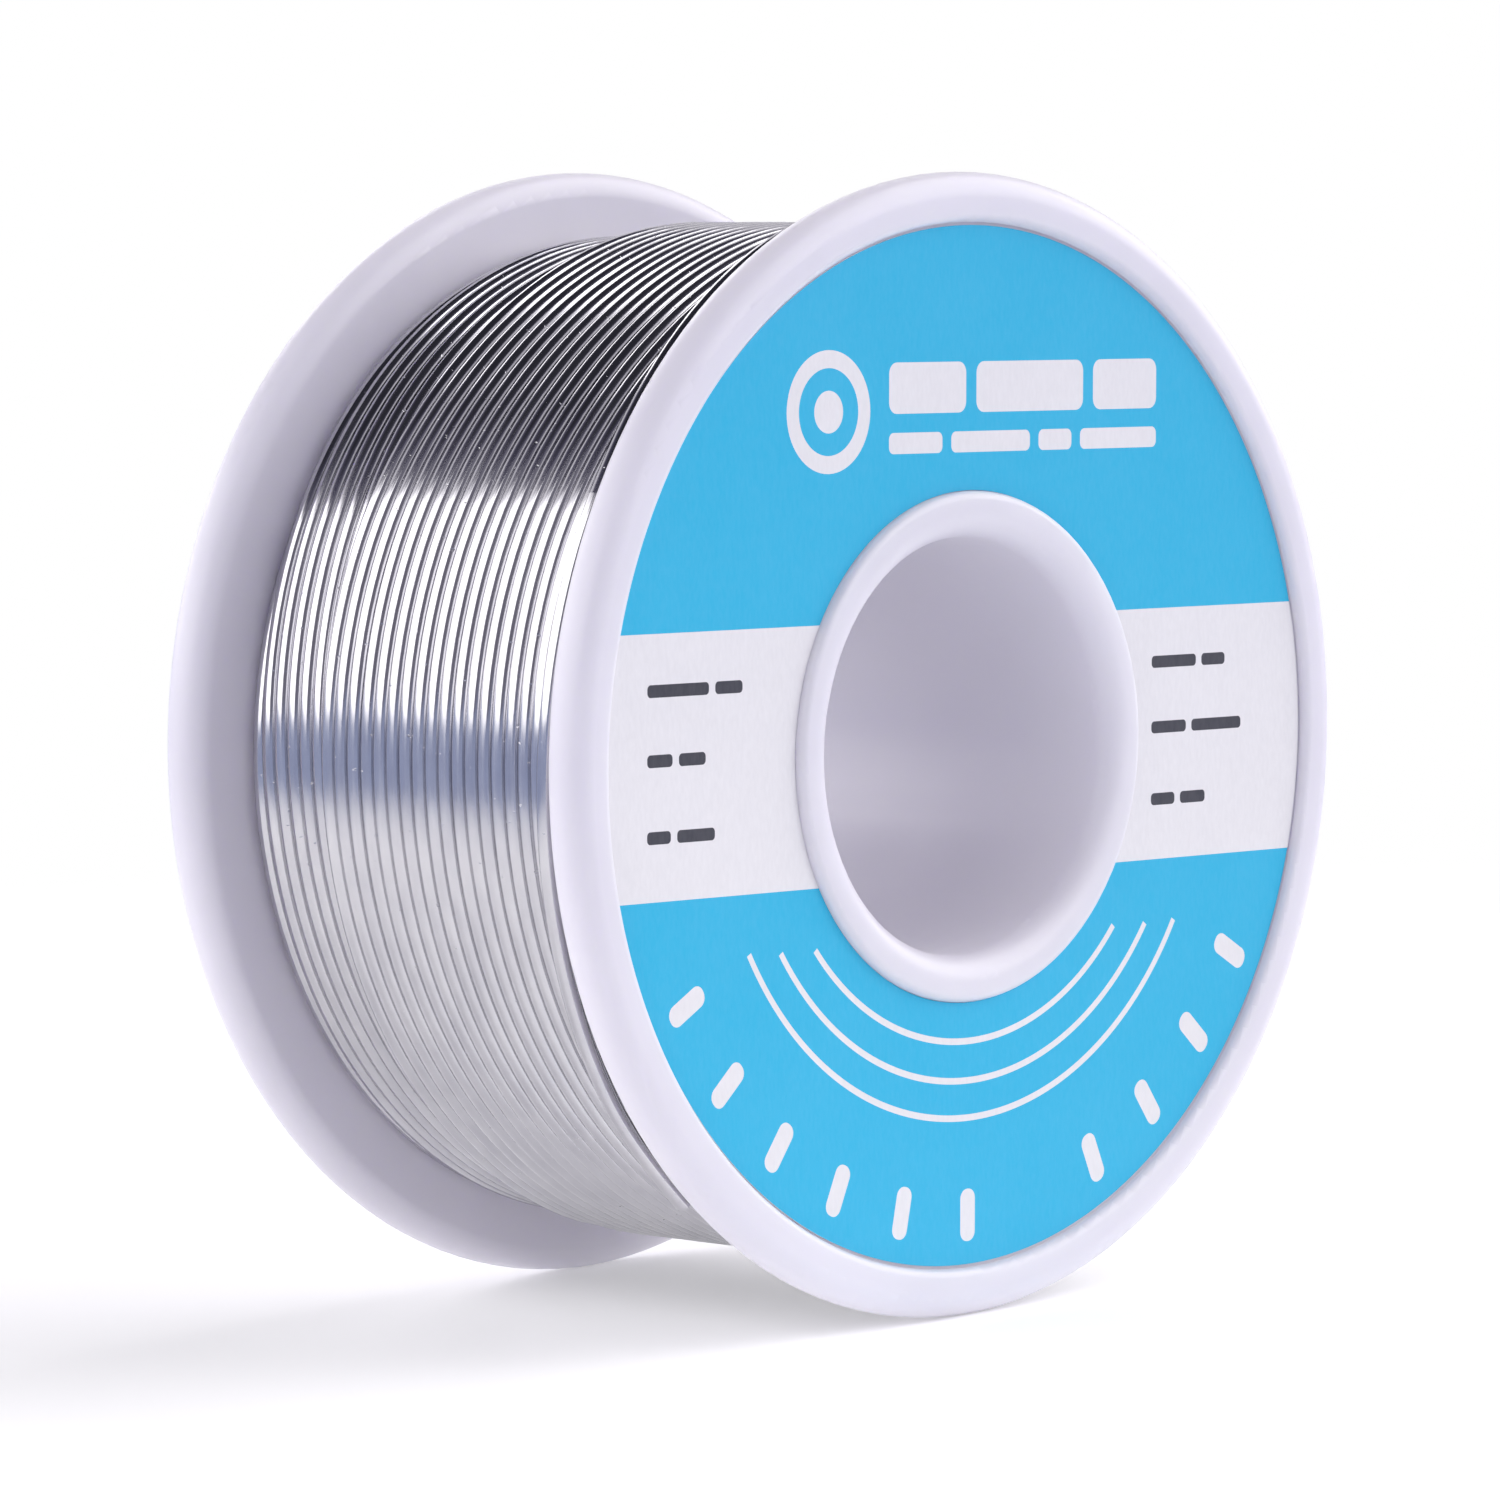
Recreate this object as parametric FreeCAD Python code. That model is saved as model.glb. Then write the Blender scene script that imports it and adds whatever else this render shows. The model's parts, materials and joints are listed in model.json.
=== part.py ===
import FreeCAD, Part
import math
import os

# Reel of solder wire: a moulded reel in two halves, its front label, and the wire wound on it.
# Millimetres. The reel's axis is Y, the labelled front looks along -Y, and +Z is up with the reel
# standing on its two rims. The origin is the middle of the reel on its axis.

# Wire and winding
wire_diameter = 0.8
flux_core_diameter = 0.3
turn_pitch = 0.82
turns_per_layer = 26
full_layers = 6
top_layer_turns = 18

# Reel
flange_diameter = 52.0
reel_length = 26.4
flange_thickness = 2.3
recess_depth = 0.55
recess_radius = 23.75
edge_round = 0.4
bore_radius = 9.5
bore_mouth_round = 1.2
collar_radius = 11.6
drum_radius = 18.8
drum_wall = 2.15
socket_depth = 3.0
socket_wall = 1.4
press_gap = 0.03
rib_count = 4
rib_thickness = 1.4
rib_depth = 6.0

# Label
label_thickness = 0.1
label_gap = 0.15

# Inner end of the wire, hooked through the drum
anchor_hole_diameter = 1.2
inner_end_bend = 2.0
inner_end_length = 6.0

# Last stretches of the wire: angles are measured round the axis from +X towards +Z
crossing_start = 315.0
crossing_start_y = 3.6
crossing_arcs = 6
bend_gap = 2.0
loose_end_lift = 0.13
loose_end_start = 150.0
loose_end_tip = 234.3
loose_end_start_y = -9.9
loose_end_middle_y = -9.5
loose_end_tip_y = -7.9

# Worked out from the sizes above
outer_radius = flange_diameter / 2
front_y = -reel_length / 2
inner_face_y = reel_length / 2 - flange_thickness
rim_round = flange_thickness / 2
layer_spacing = math.sqrt(wire_diameter ** 2 - (turn_pitch / 2) ** 2)
layer_width = (turns_per_layer - 1) * turn_pitch + wire_diameter
top_layer_width = (top_layer_turns - 1) * turn_pitch + wire_diameter
lower_radius = drum_radius + wire_diameter + (full_layers - 1) * layer_spacing
top_radius = lower_radius + layer_spacing
outermost_radius = top_radius + loose_end_lift + wire_diameter / 2
drum_inner_radius = drum_radius - drum_wall

axis_origin = FreeCAD.Vector(0, 0, 0)
axis_y = FreeCAD.Vector(0, 1, 0)


def at(radius, y):
    return FreeCAD.Vector(radius, y, 0)


def polar(radius, degrees, y):
    angle = math.radians(degrees)
    return FreeCAD.Vector(radius * math.cos(angle), y, radius * math.sin(angle))


def quarter(start, end, centre):
    """The quarter circle from start to end round centre."""
    middle = (start + end) * 0.5 - centre
    middle.normalize()
    return Part.Arc(start, centre + middle * (start - centre).Length, end).toShape()


def revolve(edges):
    """The solid that a closed outline of radius and y makes round the axis."""
    return Part.Face(Part.Wire(edges)).revolve(axis_origin, axis_y, 360)


def ring(inner, outer, y_low, y_high):
    """A plain ring between two radii and two heights along the axis."""
    corners = [at(inner, y_low), at(outer, y_low), at(outer, y_high), at(inner, y_high)]
    return revolve(Part.makePolygon(corners + corners[:1]).Edges)


def flange():
    """The front flange: rim bead, label recess and collar, with the bore's rounded mouth."""
    back_y = front_y + flange_thickness
    floor_y = front_y + recess_depth
    rim_crest = outer_radius - rim_round
    mouth = bore_radius + bore_mouth_round
    p = [
        at(bore_radius, back_y),
        at(rim_crest, back_y),
        at(outer_radius, front_y + rim_round),
        at(rim_crest, front_y),
        at(recess_radius + edge_round, front_y),
        at(recess_radius, front_y + edge_round),
        at(recess_radius, floor_y),
        at(collar_radius, floor_y),
        at(collar_radius, front_y + edge_round),
        at(collar_radius - edge_round, front_y),
        at(mouth, front_y),
        at(bore_radius, front_y + bore_mouth_round),
    ]
    rim_centre = at(rim_crest, front_y + rim_round)
    edges = [
        Part.makeLine(p[0], p[1]),
        quarter(p[1], p[2], rim_centre),
        quarter(p[2], p[3], rim_centre),
        Part.makeLine(p[3], p[4]),
        quarter(p[4], p[5], at(recess_radius + edge_round, front_y + edge_round)),
        Part.makeLine(p[5], p[6]),
        Part.makeLine(p[6], p[7]),
        Part.makeLine(p[7], p[8]),
        quarter(p[8], p[9], at(collar_radius - edge_round, front_y + edge_round)),
        Part.makeLine(p[9], p[10]),
        quarter(p[10], p[11], at(mouth, front_y + bore_mouth_round)),
        Part.makeLine(p[11], p[0]),
    ]
    return revolve(edges)


def ribs(inner, outer, y_low, y_high):
    """Radial ribs between the axes, so that each quarter of the hollow stays open."""
    solids = []
    for index in range(rib_count):
        rib = Part.makeBox(outer - inner, y_high - y_low, rib_thickness,
                           FreeCAD.Vector(inner, y_low, -rib_thickness / 2))
        rib.rotate(axis_origin, axis_y, 45 + index * 360 / rib_count)
        solids.append(rib)
    return solids


def front_half():
    """Front flange with the hub tube, the drum, their ribs and the hole that anchors the wire."""
    back_y = front_y + flange_thickness
    hub_tube = ring(bore_radius, collar_radius, back_y, inner_face_y)
    drum = ring(drum_inner_radius, drum_radius, back_y, inner_face_y)
    inner_ribs = ribs(collar_radius - rib_thickness / 2, drum_inner_radius + drum_wall / 2,
                      back_y, back_y + rib_depth)
    anchor_hole = Part.makeCylinder(anchor_hole_diameter / 2, drum_wall * 2,
                                    FreeCAD.Vector(drum_inner_radius - drum_wall / 2, first_turn_y(), 0),
                                    FreeCAD.Vector(1, 0, 0))
    return flange().fuse([hub_tube, drum] + inner_ribs).cut(anchor_hole).removeSplitter()


def rear_half():
    """Rear flange with the ring that centres the drum, the socket for the hub tube, and its ribs."""
    rear_flange = flange().mirror(axis_origin, axis_y)
    centring_radius = drum_inner_radius - press_gap
    centring_ring = ring(centring_radius - socket_wall, centring_radius, inner_face_y - socket_depth, inner_face_y)
    socket_radius = collar_radius + press_gap
    socket = ring(socket_radius, socket_radius + socket_wall, inner_face_y - socket_depth, inner_face_y)
    inner_ribs = ribs(socket_radius + socket_wall / 2, centring_radius - socket_wall / 2,
                      inner_face_y - rib_depth, inner_face_y)
    return rear_flange.fuse([centring_ring, socket] + inner_ribs).removeSplitter()


def front_label():
    """Printed paper ring on the floor of the front recess."""
    floor_y = front_y + recess_depth
    return ring(collar_radius + label_gap, recess_radius - label_gap, floor_y - label_thickness, floor_y)


def first_turn_y():
    """Where the winding starts, beside the front flange."""
    return (wire_diameter - layer_width) / 2


def lower_layers():
    """The full layers, as the outer shape of their turns."""
    return ring(drum_radius, lower_radius, -layer_width / 2, layer_width / 2)


def top_layer():
    """The last layer, which starts beside the front flange and stops short of the rear flange."""
    return ring(lower_radius, top_radius, -layer_width / 2, -layer_width / 2 + top_layer_width)


def tube_along(path, diameter):
    """A round solid along a path of lines and arcs."""
    wire = Part.Wire(path)
    start = wire.Edges[0]
    tangent = start.tangentAt(start.FirstParameter)
    section = Part.Wire(Part.makeCircle(diameter / 2, start.valueAt(start.FirstParameter), tangent))
    return wire.makePipeShell([section], True, False)


def inner_end():
    """The wire's start: from the first turn in through the drum, then along inside it."""
    y = first_turn_y()
    bend_radius = drum_inner_radius - inner_end_bend - wire_diameter
    outside = at(drum_radius, y)
    bend_start = at(bend_radius + inner_end_bend, y)
    bend_end = at(bend_radius, y + inner_end_bend)
    tip = at(bend_radius, y + inner_end_bend + inner_end_length)
    path = [
        Part.makeLine(outside, bend_start),
        quarter(bend_start, bend_end, at(bend_radius + inner_end_bend, y + inner_end_bend)),
        Part.makeLine(bend_end, tip),
    ]
    return tube_along(path, wire_diameter)


def crossing_point(share):
    """A point of the stretch that brings the wire from the step back over the top layer to the front."""
    ease = share * share * (3 - 2 * share)
    return polar(outermost_radius,
                 crossing_start + share * (360 + loose_end_start - bend_gap - crossing_start),
                 crossing_start_y + ease * (loose_end_start_y - crossing_start_y))


def crossing():
    """The stretch over the top layer on the side away from the loose end, as arcs end to end.

    It stops short of the loose end by the room that end needs to be lifted.
    """
    step = 1 / crossing_arcs
    path = [Part.Arc(crossing_point(index * step), crossing_point((index + 0.5) * step),
                     crossing_point((index + 1) * step)).toShape() for index in range(crossing_arcs)]
    print("crossing length", round(sum(edge.Length for edge in path), 2))
    return tube_along(path, wire_diameter)


def loose_end_path():
    """The loose end's centre line: one arc round the winding that drifts away from the flange."""
    middle_angle = (loose_end_start + loose_end_tip) / 2
    return [Part.Arc(polar(outermost_radius, loose_end_start, loose_end_start_y),
                     polar(outermost_radius, middle_angle, loose_end_middle_y),
                     polar(outermost_radius, loose_end_tip, loose_end_tip_y)).toShape()]


def loose_end():
    """The alloy of the wire's loose end, hollow for its flux."""
    path = loose_end_path()
    return tube_along(path, wire_diameter).cut(tube_along(path, flux_core_diameter))


def flux_core():
    """The flux inside the loose end, flush with the cut."""
    return tube_along(loose_end_path(), flux_core_diameter)


nodes = {
    "front_half": front_half(),
    "rear_half": rear_half(),
    "front_label": front_label(),
    "solder_lower_layers": lower_layers(),
    "solder_top_layer": top_layer(),
    "solder_inner_end": inner_end(),
    "solder_crossing": crossing(),
    "solder_loose_end": loose_end(),
    "flux_core": flux_core(),
}

os.makedirs("parts", exist_ok=True)
for name, shape in nodes.items():
    shape.exportStep("parts/" + name + ".step")
    print(name, "valid", shape.isValid(), "solids", len(shape.Solids), "volume", round(shape.Volume, 3))
print("winding radius", round(top_radius, 3), "gap to the loose end",
      round(nodes["solder_loose_end"].distToShape(nodes["solder_top_layer"])[0], 3))
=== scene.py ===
import json
import math
import random

import bmesh
import bpy
import numpy as np
from mathutils import Matrix, Vector
from mathutils.geometry import delaunay_2d_cdt


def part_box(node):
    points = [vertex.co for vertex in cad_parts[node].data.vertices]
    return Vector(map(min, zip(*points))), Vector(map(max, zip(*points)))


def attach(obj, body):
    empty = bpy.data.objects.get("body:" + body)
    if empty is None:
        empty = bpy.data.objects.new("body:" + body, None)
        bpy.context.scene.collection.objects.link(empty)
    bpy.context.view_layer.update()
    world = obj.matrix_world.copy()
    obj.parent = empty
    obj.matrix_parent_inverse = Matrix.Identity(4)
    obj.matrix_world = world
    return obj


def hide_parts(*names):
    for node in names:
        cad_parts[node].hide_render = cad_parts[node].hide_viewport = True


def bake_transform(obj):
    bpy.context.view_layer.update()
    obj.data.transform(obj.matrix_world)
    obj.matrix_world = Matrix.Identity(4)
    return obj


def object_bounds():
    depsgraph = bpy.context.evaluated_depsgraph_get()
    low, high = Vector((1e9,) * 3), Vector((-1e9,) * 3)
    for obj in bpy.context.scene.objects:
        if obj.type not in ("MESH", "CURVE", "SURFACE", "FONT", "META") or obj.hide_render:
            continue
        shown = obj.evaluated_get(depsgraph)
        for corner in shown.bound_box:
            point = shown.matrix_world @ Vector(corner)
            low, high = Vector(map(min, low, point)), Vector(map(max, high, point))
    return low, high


# A reel of solder wire. The reel's axis is Y, its labelled front looks along -Y and +Z is up.
# Lengths below are in millimetres and are brought to metres where a piece is made. Angles round the
# axis are in degrees, from +X towards +Z.

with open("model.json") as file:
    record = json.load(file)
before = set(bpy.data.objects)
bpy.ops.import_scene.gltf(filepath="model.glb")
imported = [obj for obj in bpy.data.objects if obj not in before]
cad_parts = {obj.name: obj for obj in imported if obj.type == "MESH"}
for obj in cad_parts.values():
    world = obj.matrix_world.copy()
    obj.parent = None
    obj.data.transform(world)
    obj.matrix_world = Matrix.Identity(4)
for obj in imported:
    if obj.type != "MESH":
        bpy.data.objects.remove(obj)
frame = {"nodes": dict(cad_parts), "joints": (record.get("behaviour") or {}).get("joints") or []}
cad_low, cad_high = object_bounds()
MM = 0.001

# ---------------------------------------------------------------- sizes shared with the CAD model
WIRE_DIAMETER = 0.8
FLUX_DIAMETER = 0.3
TURN_PITCH = 0.82
TURNS_PER_LAYER = 26
FULL_LAYERS = 6
TOP_LAYER_TURNS = 18
DRUM_RADIUS = 18.8
LAYER_SPACING = math.sqrt(WIRE_DIAMETER ** 2 - (TURN_PITCH / 2) ** 2)
TOP_RADIUS = DRUM_RADIUS + WIRE_DIAMETER + FULL_LAYERS * LAYER_SPACING
LOOSE_END_LIFT = 0.13
OUTERMOST_RADIUS = TOP_RADIUS + LOOSE_END_LIFT + WIRE_DIAMETER / 2
FIRST_TURN_Y = -(TURNS_PER_LAYER - 1) * TURN_PITCH / 2
CROSSING_START = 315.0
CROSSING_START_Y = 3.6
LOOSE_START = 150.0
LOOSE_TIP = 234.3
LOOSE_START_Y = -9.9
LOOSE_MIDDLE_Y = -9.5
LOOSE_TIP_Y = -7.9
COLLAR_RADIUS = 11.6

# ---------------------------------------------------------------- helpers


def polar(radius, degrees, y):
    angle = math.radians(degrees)
    return (radius * math.cos(angle), y, radius * math.sin(angle))


def smoothstep(value):
    value = min(1.0, max(0.0, value))
    return value * value * (3 - 2 * value)


def new_object(name, mesh):
    made = bpy.data.objects.new(name, mesh)
    bpy.context.scene.collection.objects.link(made)
    return made


# ---------------------------------------------------------------- camera
AZIMUTH, ELEVATION, ROLL = math.radians(-46.934), math.radians(4.806), math.radians(-0.831)
BACK = Vector((math.sin(AZIMUTH) * math.cos(ELEVATION), -math.cos(AZIMUTH) * math.cos(ELEVATION),
               math.sin(ELEVATION)))
RIGHT = Vector((math.cos(AZIMUTH), math.sin(AZIMUTH), 0))
UP = BACK.cross(RIGHT)
FOCAL_LENGTH = 191.15
CAMERA_RIGHT, CAMERA_UP, CAMERA_BACK = -0.616, -0.736, 369.7
camera_data = bpy.data.cameras.new("camera")
camera_data.lens = FOCAL_LENGTH
camera_data.sensor_width = 36
camera_data.clip_start = 0.01
camera_data.clip_end = 20
camera = bpy.data.objects.new("camera", camera_data)
bpy.context.scene.collection.objects.link(camera)
camera_x = RIGHT * math.cos(ROLL) + UP * math.sin(ROLL)
camera_y = UP * math.cos(ROLL) - RIGHT * math.sin(ROLL)
pose = Matrix((camera_x, camera_y, BACK)).transposed().to_4x4()
pose.translation = (RIGHT * CAMERA_RIGHT + UP * CAMERA_UP + BACK * CAMERA_BACK) * MM
camera.matrix_world = pose
bpy.context.scene.camera = camera

# ---------------------------------------------------------------- materials


def start_material(name, color, roughness, metallic=0.0):
    """A material with its Principled shader, and short ways to add and join nodes."""
    material = bpy.data.materials.new(name)
    material.use_nodes = True
    tree = material.node_tree
    shader = tree.nodes["Principled BSDF"]
    shader.inputs["Base Color"].default_value = (*color, 1)
    shader.inputs["Roughness"].default_value = roughness
    shader.inputs["Metallic"].default_value = metallic
    return material, tree, shader


def noise(tree, vector, scale, detail=2.0, roughness=0.5):
    node = tree.nodes.new("ShaderNodeTexNoise")
    node.inputs["Scale"].default_value = scale
    node.inputs["Detail"].default_value = detail
    node.inputs["Roughness"].default_value = roughness
    tree.links.new(vector, node.inputs["Vector"])
    return node.outputs["Fac"]


def remap(tree, value, low, high, to_low, to_high):
    node = tree.nodes.new("ShaderNodeMapRange")
    for name, number in (("From Min", low), ("From Max", high), ("To Min", to_low), ("To Max", to_high)):
        node.inputs[name].default_value = number
    tree.links.new(value, node.inputs["Value"])
    return node.outputs["Result"]


def math_node(tree, operation, a, b):
    node = tree.nodes.new("ShaderNodeMath")
    node.operation = operation
    for socket, value in zip(node.inputs, (a, b)):
        if isinstance(value, (int, float)):
            socket.default_value = value
        else:
            tree.links.new(value, socket)
    return node.outputs["Value"]


def mix_color(tree, factor, a, b):
    node = tree.nodes.new("ShaderNodeMix")
    node.data_type = "RGBA"
    tree.links.new(factor, node.inputs["Factor"])
    for name, value in (("A", a), ("B", b)):
        socket = next(s for s in node.inputs if s.name == name and s.type == "RGBA")
        if isinstance(value, tuple):
            socket.default_value = (*value, 1)
        else:
            tree.links.new(value, socket)
    return next(s for s in node.outputs if s.type == "RGBA")


def stretch(tree, vector, scale):
    node = tree.nodes.new("ShaderNodeMapping")
    node.inputs["Scale"].default_value = scale
    tree.links.new(vector, node.inputs["Vector"])
    return node.outputs["Vector"]


def bump(tree, shader, height, strength, distance):
    node = tree.nodes.new("ShaderNodeBump")
    node.inputs["Strength"].default_value = strength
    node.inputs["Distance"].default_value = distance
    tree.links.new(height, node.inputs["Height"])
    tree.links.new(node.outputs["Normal"], shader.inputs["Normal"])


def plastic():
    """White injection moulding: slightly translucent, with faint flow marks and a soft moulded grain."""
    material, tree, shader = start_material("white_plastic", (0.8, 0.79, 0.87), 0.36)
    shader.inputs["IOR"].default_value = 1.49
    shader.inputs["Subsurface Weight"].default_value = 0.5
    shader.inputs["Subsurface Radius"].default_value = (1.0, 0.95, 1.1)
    shader.inputs["Subsurface Scale"].default_value = 0.0018
    where = tree.nodes.new("ShaderNodeTexCoord").outputs["Object"]
    cloud = noise(tree, where, 90, 3)
    amount = remap(tree, cloud, 0.3, 0.7, 0, 1)
    color = mix_color(tree, amount, (0.695, 0.676, 0.738), (0.725, 0.706, 0.768))
    tree.links.new(color, shader.inputs["Base Color"])
    grain = noise(tree, where, 6500, 2)
    gloss = noise(tree, where, 700, 3)
    tree.links.new(remap(tree, gloss, 0.3, 0.7, 0.3, 0.42), shader.inputs["Roughness"])
    waves = noise(tree, where, 260, 1)
    fine = math_node(tree, "MULTIPLY", grain, 0.08)
    bump(tree, shader, math_node(tree, "ADD", waves, fine), 0.25, 0.00006)
    return material


def print_ink(name, color, paper_show):
    """Ink or bare stock of a coated label: fine paper fibre under a light gloss coat."""
    material, tree, shader = start_material(name, color, 0.45)
    shader.inputs["Specular IOR Level"].default_value = 0.35
    shader.inputs["Coat Weight"].default_value = 0.05
    shader.inputs["Coat Roughness"].default_value = 0.3
    where = tree.nodes.new("ShaderNodeTexCoord").outputs["Object"]
    fibre = noise(tree, stretch(tree, where, (5200, 5200, 1900)), 1.0, 4, 0.6)
    patch = noise(tree, where, 160, 3)
    lighter = tuple(channel + (1 - channel) * paper_show for channel in color)
    darker = tuple(channel * (1 - paper_show) for channel in color)
    fibre_part = math_node(tree, "MULTIPLY", fibre, 0.7)
    patch_part = math_node(tree, "MULTIPLY", patch, 0.3)
    amount = remap(tree, math_node(tree, "ADD", fibre_part, patch_part), 0.35, 0.65, 0, 1)
    tree.links.new(mix_color(tree, amount, darker, lighter), shader.inputs["Base Color"])
    tree.links.new(remap(tree, fibre, 0.3, 0.7, 0.4, 0.52), shader.inputs["Roughness"])
    bump(tree, shader, fibre, 0.15, 0.00001)
    return material


def solder():
    """Bright drawn alloy: die lines along the wire, a fine haze, and small pits and specks."""
    material, tree, shader = start_material("solder_alloy", (0.8, 0.8, 0.83), 0.16, 1.0)
    wire_map = tree.nodes.new("ShaderNodeUVMap")
    wire_map.uv_map = "wire"
    along = wire_map.outputs["UV"]
    lines = noise(tree, stretch(tree, along, (0.05, 9.0, 1)), 1.0, 3, 0.6)
    haze = noise(tree, stretch(tree, along, (0.35, 2.0, 1)), 1.0, 3, 0.55)
    fleck = noise(tree, stretch(tree, along, (3.2, 5.0, 1)), 1.0, 2, 0.5)
    pits = remap(tree, fleck, 0.70, 0.78, 0, 1)
    amount = remap(tree, haze, 0.3, 0.7, 0, 1)
    base = mix_color(tree, amount, (0.53, 0.525, 0.56), (0.62, 0.615, 0.64))
    tree.links.new(base, shader.inputs["Base Color"])
    line_roughness = remap(tree, lines, 0.3, 0.7, 0.09, 0.2)
    pit_roughness = math_node(tree, "MULTIPLY", pits, 0.2)
    rough = math_node(tree, "ADD", line_roughness, pit_roughness)
    tree.links.new(rough, shader.inputs["Roughness"])
    height = math_node(tree, "SUBTRACT", math_node(tree, "MULTIPLY", lines, 0.45), pits)
    bump(tree, shader, height, 0.5, 0.00002)
    return material


def rosin():
    """Amber flux, faintly cloudy."""
    material, tree, shader = start_material("flux", (0.62, 0.4, 0.12), 0.4)
    where = tree.nodes.new("ShaderNodeTexCoord").outputs["Object"]
    cloud = noise(tree, where, 9000, 3)
    tree.links.new(mix_color(tree, cloud, (0.5, 0.3, 0.08), (0.74, 0.52, 0.2)), shader.inputs["Base Color"])
    return material


PLASTIC = plastic()
PAPER = print_ink("label_paper", (0.76, 0.745, 0.77), 0.04)
BLUE = print_ink("label_blue", (0.012, 0.43, 0.70), 0.02)
DARK = print_ink("label_dark", (0.035, 0.035, 0.05), 0.02)
SOLDER = solder()
ROSIN = rosin()

# ---------------------------------------------------------------- the wire's route
# The wire starts beside the front flange, goes to and fro in full layers, and ends the part-filled
# last layer at a step. Its end then comes back over the winding to the front flange. Turns run
# straight round and step sideways in one stretch of each turn.
SHIFT_CENTRE = {6: 158.0, 7: 139.0}
SHIFT_WIDTH = {6: 64.0, 7: 38.0}
USUAL_SHIFT_CENTRE, USUAL_SHIFT_WIDTH = 150.0, 50.0

# The turn beside the rear flange sinks and moves outwards a little more in each layer.
END_TURN_SINK, END_TURN_SHIFT, END_TURN_LIMIT = 0.048, 0.02, 10.48

# The wire leaves the drum's hole at the first angle. It leaves the step at CLIMB_START, and three places
# of angle, radius and y take it up onto the last layer.
ROUTE_START, ROUTE_FIRST_STEP, ROUTE_EASE = 4.0, 11.0, 90
INNER_END = ((13.85, 8), (13.85, 5.5), (13.85, 3), (13.87, 1.4), (14.3, 0.4),
             (15.3, 0), (16.5, 0), (17.7, 0))
CLIMB_START = 265
CLIMB = ((279, 23.36, 4.6), (291, 23.55, 4.38), (303, 23.93, 4.05))
CROSSING_RISE = 60
LOOSE_STEPS = 7
LAST_PORTION = FULL_LAYERS * TURNS_PER_LAYER + TOP_LAYER_TURNS
POINTS_PER_TURN = 24
POINT_STEP = 360 / POINTS_PER_TURN
CORNER_SCALE = 1 / math.cos(math.radians(POINT_STEP / 2))
generator = random.Random(7)
WOBBLE = [(generator.uniform(0.6, 4.3), generator.uniform(0, 6.28), generator.uniform(0.003, 0.009))
          for _ in range(7)]
LIFT_SHARE, LIFT_RATE = 0.35, 1.37


def place_of_portion(portion):
    """(radius, y) of the wire between two of its sideways steps."""
    layer = portion // TURNS_PER_LAYER + 1
    index = portion % TURNS_PER_LAYER
    if layer % 2 == 0:
        index = TURNS_PER_LAYER - 1 - index
    offset = TURN_PITCH / 4 if layer % 2 else -TURN_PITCH / 4
    radius = DRUM_RADIUS + WIRE_DIAMETER / 2 + (layer - 1) * LAYER_SPACING
    y = FIRST_TURN_Y + offset + index * TURN_PITCH
    if index == TURNS_PER_LAYER - 1:
        radius -= END_TURN_SINK * (layer - 1)
        y = min(y + END_TURN_SHIFT * (layer - 1), END_TURN_LIMIT)
    return radius, y


def place(total):
    """(radius, y) of the wire's middle at a total angle from its start."""
    portion = int((total + 360 - USUAL_SHIFT_CENTRE) // 360)
    for before in (portion, portion - 1):
        if not 0 <= before < LAST_PORTION:
            continue
        layer = (before + 1) // TURNS_PER_LAYER + 1
        centre = SHIFT_CENTRE.get(layer, USUAL_SHIFT_CENTRE) + 360 * before
        width = SHIFT_WIDTH.get(layer, USUAL_SHIFT_WIDTH)
        if centre - width / 2 < total < centre + width / 2:
            share = smoothstep((total - centre) / width + 0.5)
            one, two = place_of_portion(before), place_of_portion(before + 1)
            return one[0] + (two[0] - one[0]) * share, one[1] + (two[1] - one[1]) * share
    return place_of_portion(portion)


def wobble(total):
    """Small unevenness of the lay, slow along the wire."""
    turns = math.radians(total)
    side = sum(size * math.sin(turns * rate + start) for rate, start, size in WOBBLE)
    lift = sum(size * math.sin(turns * rate * LIFT_RATE + 2 * start) for rate, start, size in WOBBLE)
    return LIFT_SHARE * lift, side


def crossing(angle):
    """(radius, y) on the way from the step back over the winding to the loose end."""
    end = 360 + LOOSE_START
    share = (angle - CROSSING_START) / (end - CROSSING_START)
    y = CROSSING_START_Y + smoothstep(share) * (LOOSE_START_Y - CROSSING_START_Y)
    resting = TOP_RADIUS + WIRE_DIAMETER / 2
    rise = smoothstep((angle - (end - CROSSING_RISE)) / CROSSING_RISE)
    return resting + (OUTERMOST_RADIUS - resting) * rise, y


def loose(angle):
    """(radius, y) of the loose end: a parabola through its three given places."""
    share = (angle - LOOSE_START) / (LOOSE_TIP - LOOSE_START)
    y = (LOOSE_START_Y * (1 - share) * (1 - 2 * share) + LOOSE_MIDDLE_Y * 4 * share * (1 - share)
         + LOOSE_TIP_Y * share * (2 * share - 1))
    return OUTERMOST_RADIUS, y


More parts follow.
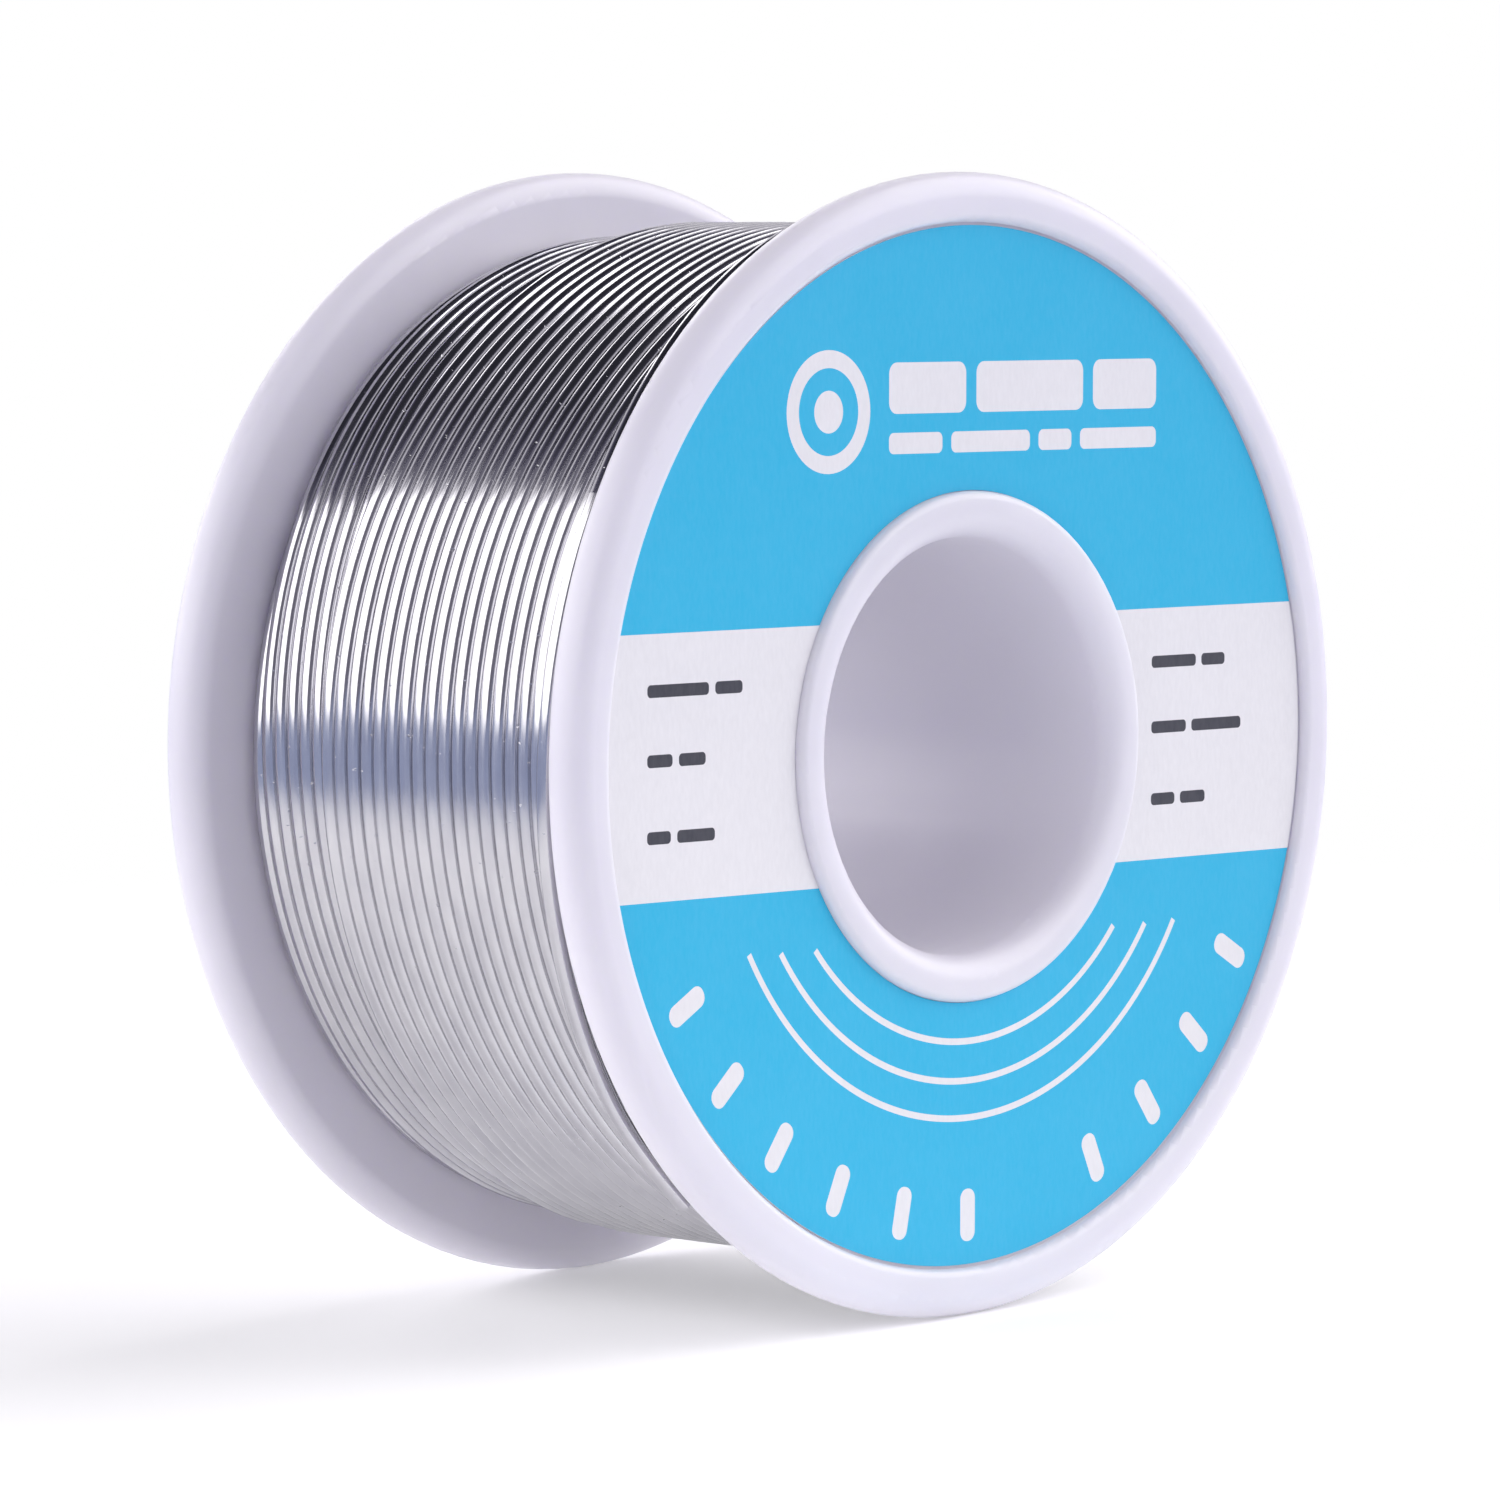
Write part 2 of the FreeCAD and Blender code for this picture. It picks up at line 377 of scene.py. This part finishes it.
def route_points():
    """The control points of the whole wire, from the end inside the drum to the cut tip."""
    points = [(radius, FIRST_TURN_Y + y, 0) for radius, y in INNER_END]
    points += [(18.9, FIRST_TURN_Y, 0.02), (19.3, FIRST_TURN_Y, 0.5)]
    total = ROUTE_START
    start_of_crossing = 360 * (LAST_PORTION - 1)
    while total < start_of_crossing + CLIMB_START:
        radius, y = place(total)
        lift, side = wobble(total)
        if total < ROUTE_EASE:
            y = FIRST_TURN_Y + (y - FIRST_TURN_Y) * total / ROUTE_EASE
        points.append(polar((radius + lift) * CORNER_SCALE, total % 360, y + side))
        total += POINT_STEP if total > ROUTE_START else ROUTE_FIRST_STEP
    for angle, radius, y in CLIMB:
        points.append(polar(radius * CORNER_SCALE, angle, y))
    angle = CROSSING_START
    while angle < 360 + LOOSE_START - 1:
        radius, y = crossing(angle)
        points.append(polar(radius * CORNER_SCALE, angle % 360, y))
        angle += POINT_STEP
    for index in range(LOOSE_STEPS + 1):
        angle = LOOSE_START + (LOOSE_TIP - LOOSE_START) * index / LOOSE_STEPS
        radius, y = loose(angle)
        scale = CORNER_SCALE if index < LOOSE_STEPS else 1
        points.append(polar(radius * scale, angle, y))
    return points


def read_route(points, resolution):
    """Points along the smooth NURBS line of the route."""
    curve = bpy.data.curves.new("route", "CURVE")
    curve.dimensions = "3D"
    spline = curve.splines.new("NURBS")
    spline.points.add(len(points) - 1)
    for point, values in zip(spline.points, points):
        point.co = (values[0] * MM, values[1] * MM, values[2] * MM, 1)
    spline.order_u = 3
    spline.use_endpoint_u = True
    spline.resolution_u = resolution
    curve.resolution_u = resolution
    holder = new_object("route", curve)
    mesh = bpy.data.meshes.new_from_object(holder)
    line = np.empty(len(mesh.vertices) * 3)
    mesh.vertices.foreach_get("co", line)
    bpy.data.objects.remove(holder)
    bpy.data.curves.remove(curve)
    bpy.data.meshes.remove(mesh)
    return line.reshape(-1, 3)


def frames_along(line):
    """Tangents and two crossing directions at each point that turn as little as possible."""
    tangent = np.gradient(line, axis=0)
    tangent /= np.linalg.norm(tangent, axis=1)[:, None]
    first = np.empty_like(line)
    side = np.cross(tangent[0], (0.3, 0.2, 0.9))
    first[0] = side / np.linalg.norm(side)
    for index in range(1, len(line)):
        side = first[index - 1] - tangent[index] * (first[index - 1] @ tangent[index])
        first[index] = side / math.sqrt(side @ side)
    return tangent, first, np.cross(tangent, first)


def ring_points(centre, first, second, radius, sides):
    angles = np.arange(sides) * 2 * math.pi / sides
    return centre + radius * (np.cos(angles)[:, None] * first + np.sin(angles)[:, None] * second)


def wire_mesh(name, line, frames, lengths, sides_at, bore=None):
    """A closed tube along line. sides_at gives the number of sides at each point, or 0 to skip it."""
    _, first, second = frames
    vertices, faces, loops_uv = [], [], []
    previous = None
    for index in range(len(line)):
        sides = sides_at[index]
        if not sides:
            continue
        start = len(vertices)
        radius = WIRE_DIAMETER / 2 * MM
        vertices.extend(ring_points(line[index], first[index], second[index], radius, sides))
        here = (start, sides, lengths[index])
        if previous is None:
            faces.append(tuple(range(start, start + sides)))
            loops_uv.append([(here[2], j / sides) for j in range(sides)])
        else:
            join_rings(faces, loops_uv, previous, here)
        previous = here
    start, sides, length = previous
    if bore:
        inner = len(vertices)
        vertices.extend(ring_points(line[-1], first[-1], second[-1], bore / 2 * MM, sides))
        for j in range(sides):
            k = (j + 1) % sides
            faces.append((start + k, start + j, inner + j, inner + k)[::-1])
            loops_uv.append([(length, j / sides)] * 4)
        floor = len(vertices)
        bottom = line[-1] - frames[0][-1] * FLUX_HOLE_DEPTH * MM
        vertices.extend(ring_points(bottom, first[-1], second[-1], bore / 2 * MM, sides))
        for j in range(sides):
            k = (j + 1) % sides
            faces.append((inner + k, inner + j, floor + j, floor + k)[::-1])
            loops_uv.append([(length, j / sides)] * 4)
        faces.append(tuple(range(floor, floor + sides))[::-1])
        loops_uv.append([(length, 0)] * sides)
    else:
        faces.append(tuple(range(start, start + sides))[::-1])
        loops_uv.append([(length, j / sides) for j in range(sides)][::-1])
    mesh = bpy.data.meshes.new(name)
    mesh.from_pydata([tuple(v) for v in vertices], [], faces)
    layer = mesh.uv_layers.new(name="wire")
    layer.data.foreach_set("uv", [x for face in loops_uv for pair in face for x in pair])
    made = new_object(name, mesh)
    tidy_normals(mesh)
    return made


def join_rings(faces, loops_uv, one, two):
    """Faces between two rings, whose numbers of sides are equal or one twice the other."""
    (a, n, s), (b, m, t) = one, two
    if n == m:
        for j in range(n):
            k = (j + 1) % n
            faces.append((a + j, a + k, b + k, b + j)[::-1])
            loops_uv.append([(s, j / n), (s, (j + 1) / n), (t, (j + 1) / n), (t, j / n)][::-1])
        return
    if n > m:
        a, n, s, b, m, t = b, m, t, a, n, s
        flip = -1
    else:
        flip = 1
    for j in range(n):
        k = (j + 1) % n
        p, q, r = b + 2 * j, b + 2 * j + 1, b + (2 * j + 2) % m
        u, v, w = j / n, (j + 0.5) / n, (j + 1) / n
        for face, uv in (((a + j, q, p), [(s, u), (t, v), (t, u)]),
                         ((a + j, a + k, q), [(s, u), (s, w), (t, v)]),
                         ((a + k, r, q), [(s, w), (t, w), (t, v)])):
            faces.append(face[::-1] if flip > 0 else face)
            loops_uv.append(uv[::-1] if flip > 0 else uv)


def tidy_normals(mesh, sharp_angle=65):
    """Outward faces, shaded smooth except at true corners."""
    work = bmesh.new()
    work.from_mesh(mesh)
    bmesh.ops.recalc_face_normals(work, faces=work.faces)
    work.to_mesh(mesh)
    work.free()
    mesh.shade_smooth()
    mesh.set_sharp_from_angle(angle=math.radians(sharp_angle))


# Turns are counted along the wire. Only those in SEEN_TURNS, and all after SEEN_AFTER, are finely made.
SEEN_TURNS, SEEN_AFTER = (129, 139), 154.5
SEEN_SIDES, HIDDEN_SIDES, LOOSE_SIDES = 12, 6, 24
HIDDEN_STEP = 3
INNER_END_POINTS = 40
LAST_POINTS = 140
FLUX_HOLE_DEPTH = 0.35
RESOLUTION = 6
line = read_route(route_points(), RESOLUTION)
frames = frames_along(line)
steps = np.linalg.norm(np.diff(line, axis=0), axis=1)
lengths = np.concatenate([[0], np.cumsum(steps)]) * 1000
hinge = frame["joints"][0]["pos_m"]
last_stretch = np.arange(len(line)) > len(line) - LAST_POINTS
hinge_distance = np.linalg.norm(line - np.array(hinge), axis=1)
split = int(np.argmin(np.where(last_stretch, hinge_distance, 1)))

angle_of = np.unwrap(np.arctan2(line[:, 2], line[:, 0])) * 180 / math.pi
in_seen_turns = (angle_of > 360 * SEEN_TURNS[0]) & (angle_of < 360 * SEEN_TURNS[1])
sides_at = []
for index, seen in enumerate(in_seen_turns | (angle_of > 360 * SEEN_AFTER)):
    hidden_sides = HIDDEN_SIDES if index % HIDDEN_STEP == 0 or index < INNER_END_POINTS else 0
    sides_at.append(SEEN_SIDES if seen and index >= INNER_END_POINTS else hidden_sides)
winding = wire_mesh("solder_winding", line[: split + 1], [f[: split + 1] for f in frames], lengths,
                    sides_at[: split + 1])
loose_end = wire_mesh("solder_loose_wire", line[split:], [f[split:] for f in frames], lengths[split:],
                      [LOOSE_SIDES] * (len(line) - split), FLUX_DIAMETER)
for piece in (winding, loose_end):
    piece.data.materials.append(SOLDER)

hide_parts("solder_lower_layers", "solder_top_layer", "solder_inner_end", "solder_crossing")
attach(winding, "reel")
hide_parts("solder_loose_end")

# The flux shows in the cut tip, just below its edge.
tip, tip_tangent = Vector(line[-1]), Vector(frames[0][-1])
FLUX_PLUG_LENGTH, FLUX_PLUG_DEPTH = 0.00028, 0.00019
flux_mesh = bpy.data.meshes.new("flux_plug")
work = bmesh.new()
bmesh.ops.create_cone(work, cap_ends=True, segments=LOOSE_SIDES, radius1=FLUX_DIAMETER / 2 * 0.97 * MM,
                      radius2=FLUX_DIAMETER / 2 * 0.9 * MM, depth=FLUX_PLUG_LENGTH)
work.to_mesh(flux_mesh)
work.free()
flux = new_object("flux_plug", flux_mesh)
plug_turn = tip_tangent.to_track_quat("Z", "Y").to_matrix().to_4x4()
flux_mesh.transform(Matrix.Translation(tip - tip_tangent * FLUX_PLUG_DEPTH) @ plug_turn)
tidy_normals(flux_mesh, 50)
flux.data.materials.append(ROSIN)
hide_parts("flux_core")
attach(flux, "wire_end")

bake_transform(loose_end)

# ---------------------------------------------------------------- reel
for name in ("front_half", "rear_half"):
    half = frame["nodes"][name]
    half.data.materials.clear()
    half.data.materials.append(PLASTIC)
    half.data.shade_smooth()
    weld = half.modifiers.new("weld", "WELD")
    weld.merge_threshold = 1e-6
    weighted = half.modifiers.new("normals", "WEIGHTED_NORMAL")
    weighted.keep_sharp = True

# ---------------------------------------------------------------- label
PRINT_TILT = math.radians(-1.43)
BAND_HALF = 5.85
label_low, label_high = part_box("front_label")
LABEL_OUTER = label_high.x / MM
LABEL_INNER = COLLAR_RADIUS + 0.03

# What is printed, in millimetres from the label's middle.
LINE_WIDTH, LINES = 0.3, ((13.4, 49.6), (15.2, 55.1), (16.9, 59.3))
LINES_MIDDLE = -90.4
TICKS, FIRST_TICK, TICK_ANGLE, TICK_RADIUS = (0, 1, 2, 3, 4, 5, 7, 8, 9, 10), -150.4, 12.1, 21.35
LARGE_BARS, LARGE_BAR_Y = ((-5.5, 5.2), (0.4, 7.4), (8.5, 4.5)), 15.15
SMALL_BARS, SMALL_BAR_Y = ((-5.5, 3.6), (-1.3, 5.4), (4.7, 2.3), (7.6, 5.4)), 13.35
DOT_X, DOT_Y = -9.5, 15.3
BAND_ROWS = (((-21.1, 3.35), (3.9, 1.75)), ((-21.1, 0.3), (1.6, 1.7)), ((-21.1, -3.05), (1.5, 2.4)),
             ((12.8, 3.35), (3.2, 1.7)), ((12.8, 0.3), (2.5, 3.6)), ((12.8, -3.05), (1.7, 1.8)))


def rounded_bar(left, low, width, height, radius, turn=0.0, distance=0.0):
    """Outline of a bar with rounded corners. turn and distance place it out along a radius instead."""
    points = []
    near_x, far_x = left + radius, left + width - radius
    near_y, far_y = low + radius, low + height - radius
    corners = ((far_x, far_y, 0), (near_x, far_y, 90), (near_x, near_y, 180), (far_x, near_y, 270))
    for cx, cy, start in corners:
        for index in range(7):
            angle = math.radians(start + index * 15)
            points.append((cx + radius * math.cos(angle), cy + radius * math.sin(angle)))
    if distance:
        c, s = math.cos(math.radians(turn)), math.sin(math.radians(turn))
        points = [((distance + v) * c - u * s, (distance + v) * s + u * c) for u, v in points]
    return points


def circle(cx, cy, radius, count=64):
    angles = [2 * math.pi * i / count for i in range(count)]
    return [(cx + radius * math.cos(angle), cy + radius * math.sin(angle)) for angle in angles]


def arc_band(radius, width, start, end, count=72):
    """A thin curved line with round ends, about the label's middle."""
    points = []
    for edge, order in ((radius + width / 2, 1), (radius - width / 2, -1)):
        angles = [math.radians(start + (end - start) * i / count) for i in range(count + 1)][::order]
        points += [(edge * math.cos(a), edge * math.sin(a)) for a in angles]
    return points


def print_shapes():
    """(outline, material index) of everything printed, later ones on top. 0 is white, 1 blue, 2 dark."""
    shapes = [([(-30, -BAND_HALF), (30, -BAND_HALF), (30, BAND_HALF), (-30, BAND_HALF)], 0)]
    for radius, half_span in LINES:
        line_shape = arc_band(radius, LINE_WIDTH, LINES_MIDDLE - half_span, LINES_MIDDLE + half_span)
        shapes.append((line_shape, 0))
    for step in TICKS:
        turn = FIRST_TICK + TICK_ANGLE * step
        shapes.append((rounded_bar(-0.5, -1.2, 1.0, 2.4, 0.45, turn, TICK_RADIUS), 0))
    for left, width in LARGE_BARS:
        shapes.append((rounded_bar(left, LARGE_BAR_Y, width, 2.3, 0.5), 0))
    for left, width in SMALL_BARS:
        shapes.append((rounded_bar(left, SMALL_BAR_Y, width, 0.95, 0.3), 0))
    shapes.append((circle(DOT_X, DOT_Y, 2.75), 0))
    shapes.append((circle(DOT_X, DOT_Y, 1.95), 1))
    shapes.append((circle(DOT_X, DOT_Y, 0.95, 40), 0))
    for (left, middle), widths in BAND_ROWS:
        for width in widths:
            shapes.append((rounded_bar(left, middle - 0.28, width, 0.56, 0.2), 2))
            left += width + 0.4
    return shapes


def inside(point, outline):
    """True if the point is within the closed outline."""
    x, y = point
    crossed = False
    for (ax, ay), (bx, by) in zip(outline, outline[1:] + outline[:1]):
        if (ay > y) != (by > y) and x < ax + (y - ay) / (by - ay) * (bx - ax):
            crossed = not crossed
    return crossed


def make_label():
    """The printed ring, cut into triangles along every printed outline."""
    shapes = print_shapes()
    outlines = [circle(0, 0, LABEL_OUTER, 256), circle(0, 0, LABEL_INNER, 192)] + [s[0] for s in shapes[1:]]
    points, edges = [], []
    for outline in outlines:
        start = len(points)
        points += outline
        edges += [(start + i, start + (i + 1) % len(outline)) for i in range(len(outline))]
    for edge in (-BAND_HALF, BAND_HALF):
        start = len(points)
        outer_x = math.sqrt(LABEL_OUTER ** 2 - edge ** 2)
        inner_x = math.sqrt(LABEL_INNER ** 2 - edge ** 2)
        points += [(-outer_x, edge), (-inner_x, edge), (inner_x, edge), (outer_x, edge)]
        edges += [(start, start + 1), (start + 2, start + 3)]
    result = delaunay_2d_cdt([Vector(p) for p in points], edges, [], 0, 1e-5)
    flat, triangles = result[0], result[2]
    kept, slots = [], []
    for triangle in triangles:
        cx = sum(flat[i].x for i in triangle) / 3
        cy = sum(flat[i].y for i in triangle) / 3
        distance = math.hypot(cx, cy)
        if not LABEL_INNER * 0.9999 < distance < LABEL_OUTER:
            continue
        slot = 1
        for outline, index in shapes:
            if inside((cx, cy), outline):
                slot = index
        kept.append(tuple(triangle))
        slots.append(slot)
    c, s = math.cos(PRINT_TILT), math.sin(PRINT_TILT)
    front = [((p.x * c - p.y * s) * MM, label_low.y, (p.x * s + p.y * c) * MM) for p in flat]
    back = [(x, label_high.y, z) for x, _, z in front]
    count = len(flat)
    faces = list(kept)
    faces += [tuple(count + i for i in triangle[::-1]) for triangle in kept]
    slots += [0] * len(kept)
    uses = {}
    for triangle in kept:
        for i in range(3):
            edge = (triangle[i], triangle[(i + 1) % 3])
            uses[frozenset(edge)] = None if frozenset(edge) in uses else edge
    for edge in uses.values():
        if edge:
            faces.append((edge[1], edge[0], count + edge[0], count + edge[1]))
            slots.append(0)
    mesh = bpy.data.meshes.new("front_print")
    mesh.from_pydata(front + back, [], faces)
    mesh.polygons.foreach_set("material_index", slots)
    for material in (PAPER, BLUE, DARK):
        mesh.materials.append(material)
    work = bmesh.new()
    work.from_mesh(mesh)
    bmesh.ops.delete(work, geom=[v for v in work.verts if not v.link_faces], context="VERTS")
    bmesh.ops.recalc_face_normals(work, faces=work.faces)
    work.to_mesh(mesh)
    work.free()
    made = new_object("front_print", mesh)
    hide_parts("front_label")
    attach(made, "reel")
    return made


make_label()

# ---------------------------------------------------------------- floor, backdrop and light
FLOOR_RADIUS, FLOOR_RINGS, FLOOR_SIDES = 0.22, 6, 96
FADE_START, FADE_END = 0.09, 0.21
FLOOR_GLOW = 0.2

# Heights are sines of elevation. Azimuths are in degrees from +X towards +Y.
BELT_LOW, BELT_HIGH, FRONT_RAISE = 0.09, 0.735, 0.12
FRONT_RANGE = (-90, 10)
BACK_RANGE, BACK_DROP = (30, 95), 0.12
LEFT_AZIMUTH, LEFT_SLOPE, LEFT_CURVE = 160.0, 0.00127, 0.0000582
RIGHT_FOOT, RIGHT_HEAD, GREY_SHARE = 50.1, 108.4, 0.25
CAMERA_GAP, MIDDLE_GAP, RIGHT_GAP = (-156, -110), (-110, -72), (15, 53)
CAMERA_REST, MIDDLE_REST, RIGHT_REST = 0.05, 0.2, 0.25
SIDE_COLOR = (2.6, 2.55, 2.58)
FRONT_COLOR = (3.0, 2.95, 2.98)
LOW_COLOR = (0.39, 0.44, 0.64)
HIGH_COLOR = (0.095, 0.088, 0.14)
TOP_COLOR = (0.03, 0.03, 0.04)


def make_floor():
    """A small round pale floor under the reel."""
    vertices, faces = [(0, 0, cad_low.z)], []
    for ring in range(1, FLOOR_RINGS + 1):
        for index in range(FLOOR_SIDES):
            angle = 2 * math.pi * index / FLOOR_SIDES
            vertices.append((FLOOR_RADIUS * ring / FLOOR_RINGS * math.cos(angle),
                             FLOOR_RADIUS * ring / FLOOR_RINGS * math.sin(angle), cad_low.z))
    for index in range(FLOOR_SIDES):
        after = (index + 1) % FLOOR_SIDES
        faces.append((0, 1 + index, 1 + after))
        for ring in range(FLOOR_RINGS - 1):
            a, b = 1 + ring * FLOOR_SIDES, 1 + (ring + 1) * FLOOR_SIDES
            faces.append((a + index, b + index, b + after, a + after))
    mesh = bpy.data.meshes.new("floor")
    mesh.from_pydata(vertices, [], faces)
    floor = new_object("floor", mesh)
    mesh.materials.append(floor_material())


def floor_material():
    """Pale and matt, faintly lit from below, and gone by the floor's edge so that no edge shows."""
    material, tree, shader = start_material("floor_white", (0.93, 0.93, 0.94), 0.9)
    shader.inputs["Specular IOR Level"].default_value = 0.1
    shader.inputs["Emission Color"].default_value = (1, 1, 1, 1)
    shader.inputs["Emission Strength"].default_value = FLOOR_GLOW
    where = tree.nodes.new("ShaderNodeTexCoord").outputs["Object"]
    far = tree.nodes.new("ShaderNodeVectorMath")
    far.operation = "LENGTH"
    tree.links.new(where, far.inputs[0])
    fade = tree.nodes.new("ShaderNodeMapRange")
    fade.interpolation_type = "SMOOTHSTEP"
    for name, number in (("From Min", FADE_START), ("From Max", FADE_END), ("To Min", 1), ("To Max", 0)):
        fade.inputs[name].default_value = number
    tree.links.new(far.outputs["Value"], fade.inputs["Value"])
    tree.links.new(fade.outputs["Result"], shader.inputs["Alpha"])
    return material


def inside_range(tree, value, low, high, soft):
    """1 where a value lies between low and high, 0 outside, with soft edges."""
    above = remap(tree, value, low - soft, low + soft, 0, 1)
    below = remap(tree, value, high - soft, high + soft, 1, 0)
    return math_node(tree, "MULTIPLY", above, below)


def dimmed(tree, light, zone, rest):
    """The light with only a share of it left inside a zone."""
    return math_node(tree, "MULTIPLY", light, remap(tree, zone, 0, 1, 1, rest))


def studio_world():
    """Soft light: a bright belt of panels with three dim gaps in it, dark above and a dim room below.

    The camera sees plain white in its place.
    """
    world = bpy.data.worlds.new("studio")
    bpy.context.scene.world = world
    world.use_nodes = True
    tree = world.node_tree
    background = tree.nodes["Background"]
    direction = tree.nodes.new("ShaderNodeTexCoord").outputs["Generated"]
    split_node = tree.nodes.new("ShaderNodeSeparateXYZ")
    tree.links.new(direction, split_node.inputs["Vector"])
    height = split_node.outputs["Z"]
    turn = math_node(tree, "ARCTAN2", split_node.outputs["Y"], split_node.outputs["X"])
    azimuth = math_node(tree, "DEGREES", turn, 0)

    front = inside_range(tree, azimuth, *FRONT_RANGE, 10)
    top = math_node(tree, "ADD", math_node(tree, "MULTIPLY", front, FRONT_RAISE), BELT_HIGH)
    back = inside_range(tree, azimuth, *BACK_RANGE, 3)
    top = math_node(tree, "SUBTRACT", top, math_node(tree, "MULTIPLY", back, BACK_DROP))
    over = math_node(tree, "SUBTRACT", height, top)
    right_end = remap(tree, height, 0, 1, RIGHT_FOOT, RIGHT_HEAD)
    past_end = math_node(tree, "SUBTRACT", azimuth, right_end)
    below_top = remap(tree, over, -0.01, 0.01, 1, 0)
    before_end = remap(tree, past_end, -1, 1, 1, 0)
    belt = math_node(tree, "MULTIPLY", below_top, before_end)

    from_left = math_node(tree, "MAXIMUM", math_node(tree, "SUBTRACT", LEFT_AZIMUTH, azimuth), 0.0)
    curve = math_node(tree, "MULTIPLY", math_node(tree, "MULTIPLY", from_left, from_left), -LEFT_CURVE)
    curve = math_node(tree, "SUBTRACT", curve, math_node(tree, "MULTIPLY", from_left, LEFT_SLOPE))
    over_left = math_node(tree, "SUBTRACT", math_node(tree, "SUBTRACT", height, BELT_HIGH), curve)
    belt = math_node(tree, "MAXIMUM", belt, remap(tree, over_left, -0.01, 0.01, 1, 0))
    belt = math_node(tree, "MAXIMUM", belt, remap(tree, height, 0.60, 0.70, GREY_SHARE, 0))

    belt = dimmed(tree, belt, inside_range(tree, azimuth, *CAMERA_GAP, 2), CAMERA_REST)
    belt = dimmed(tree, belt, inside_range(tree, azimuth, *MIDDLE_GAP, 2), MIDDLE_REST)
    belt = dimmed(tree, belt, inside_range(tree, azimuth, *RIGHT_GAP, 3), RIGHT_REST)
    above_low = remap(tree, height, BELT_LOW - 0.02, BELT_LOW + 0.02, 0, 1)
    belt = math_node(tree, "MULTIPLY", belt, above_low)

    dark = mix_color(tree, remap(tree, over, 0.02, 0.14, 0, 1), HIGH_COLOR, TOP_COLOR)
    bright = mix_color(tree, front, SIDE_COLOR, FRONT_COLOR)
    seen = mix_color(tree, belt, mix_color(tree, above_low, LOW_COLOR, dark), bright)
    light_path = tree.nodes.new("ShaderNodeLightPath")
    color = mix_color(tree, light_path.outputs["Is Camera Ray"], seen, (1, 1, 1))
    tree.links.new(color, background.inputs["Color"])


make_floor()
studio_world()
bpy.context.scene.view_settings.view_transform = "Standard"
